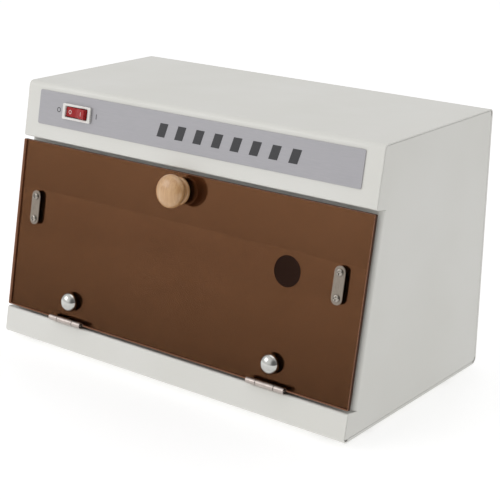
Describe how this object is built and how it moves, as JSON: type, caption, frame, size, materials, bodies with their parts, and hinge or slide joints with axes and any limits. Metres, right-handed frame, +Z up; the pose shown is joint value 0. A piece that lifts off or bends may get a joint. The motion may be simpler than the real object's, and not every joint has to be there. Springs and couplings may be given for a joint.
{
  "type": "ultraviolet sterilizer cabinet",
  "caption": "Bench cabinet with a slanted front: a drop-down mirror acrylic door with a wooden knob, a rail below, and a fascia with a label plate and a rocker switch.",
  "frame": {"origin": "middle of the footprint on the bench, level with the undersides of the feet", "axes": "+X to the right as seen from the front, +Y to the back, +Z up; the door faces -Y"},
  "size_m": [0.37, 0.2111, 0.2298],
  "materials": {
    "enamel": "warm off-white baked enamel, satin",
    "rubber": "matt black",
    "zinc": "bright zinc plate",
    "reflector": "polished",
    "lamp_glass": "clear quartz glass",
    "cap_aluminium": "satin",
    "white_plastic": "white, slightly glossy",
    "chrome": "bright chrome",
    "ballast_steel": "grey lacquered steel laminations",
    "black_plastic": "fine matt texture",
    "brass": "nickel-washed brass",
    "lead_insulation": "satin wire insulation",
    "label": "grey anodised plate",
    "magnet": "dark ferrite block",
    "bronze_acrylic": "bronze mirror acrylic, polished",
    "knob_wood": "pale turned hardwood under clear lacquer",
    "stainless": "brushed stainless steel",
    "rocker_red": "translucent red"
  },
  "bodies": {
    "cabinet": {"top_back_cover": "enamel", "base_tray": "enamel", "side_panel_left": "enamel", "side_panel_right": "enamel", "foot_left_front": "rubber", "foot_left_back": "rubber", "foot_right_front": "rubber", "foot_right_back": "rubber", "base_screw_left_front": "zinc", "base_screw_left_back": "zinc", "base_screw_right_front": "zinc", "base_screw_right_back": "zinc", "chamber_ceiling": "enamel", "lamp_reflector": "reflector", "uv_lamp_tube": "lamp_glass", "lamp_cap_left": "cap_aluminium", "lamp_cap_right": "cap_aluminium", "lamp_holder_left": "white_plastic", "lamp_holder_right": "white_plastic", "wire_rack": "chrome", "ballast": "ballast_steel", "terminal_block": "white_plastic", "starter_socket": "white_plastic", "starter": "cap_aluminium", "mains_inlet": "black_plastic", "inlet_blade_earth": "brass", "inlet_blade_live": "brass", "inlet_blade_neutral": "brass", "switch_lead": "lead_insulation", "mains_lead": "lead_insulation", "ballast_lead": "lead_insulation", "lamp_lead": "lead_insulation", "starter_lead": "lead_insulation", "label_plate": "label", "switch_bezel": "white_plastic", "catch_magnet_left": "magnet", "catch_magnet_right": "magnet", "hinge_base_leaf_left": "zinc", "hinge_base_leaf_right": "zinc", "hinge_pin_left": "zinc", "hinge_pin_right": "zinc"},
    "door": {"door_panel": "bronze_acrylic", "door_spot": "rubber", "knob": "knob_wood", "knob_screw": "zinc", "catch_screw_left_upper": "chrome", "catch_screw_left_lower": "chrome", "catch_screw_right_upper": "chrome", "catch_screw_right_lower": "chrome", "catch_plate_left": "stainless", "strike_plate_left": "zinc", "hinge_door_leaf_left": "zinc", "hinge_cap_left": "chrome", "hinge_nut_left": "zinc", "catch_plate_right": "stainless", "strike_plate_right": "zinc", "hinge_door_leaf_right": "zinc", "hinge_cap_right": "chrome", "hinge_nut_right": "zinc"},
    "rocker": {"switch_rocker": "rocker_red"}
  },
  "joints": [
    {"name": "door_hinge", "type": "hinge", "parent": "cabinet", "child": "door", "pos_m": [0, -0.10298, 0.03152], "axis": [1, 0, 0], "range_deg": [0, 106]},
    {"name": "rocker_tilt", "type": "hinge", "parent": "cabinet", "child": "rocker", "pos_m": [-0.1231, -0.06752, 0.20934], "axis": [0, 0.182, 0.9833], "range_deg": [0, 20]}
  ]
}
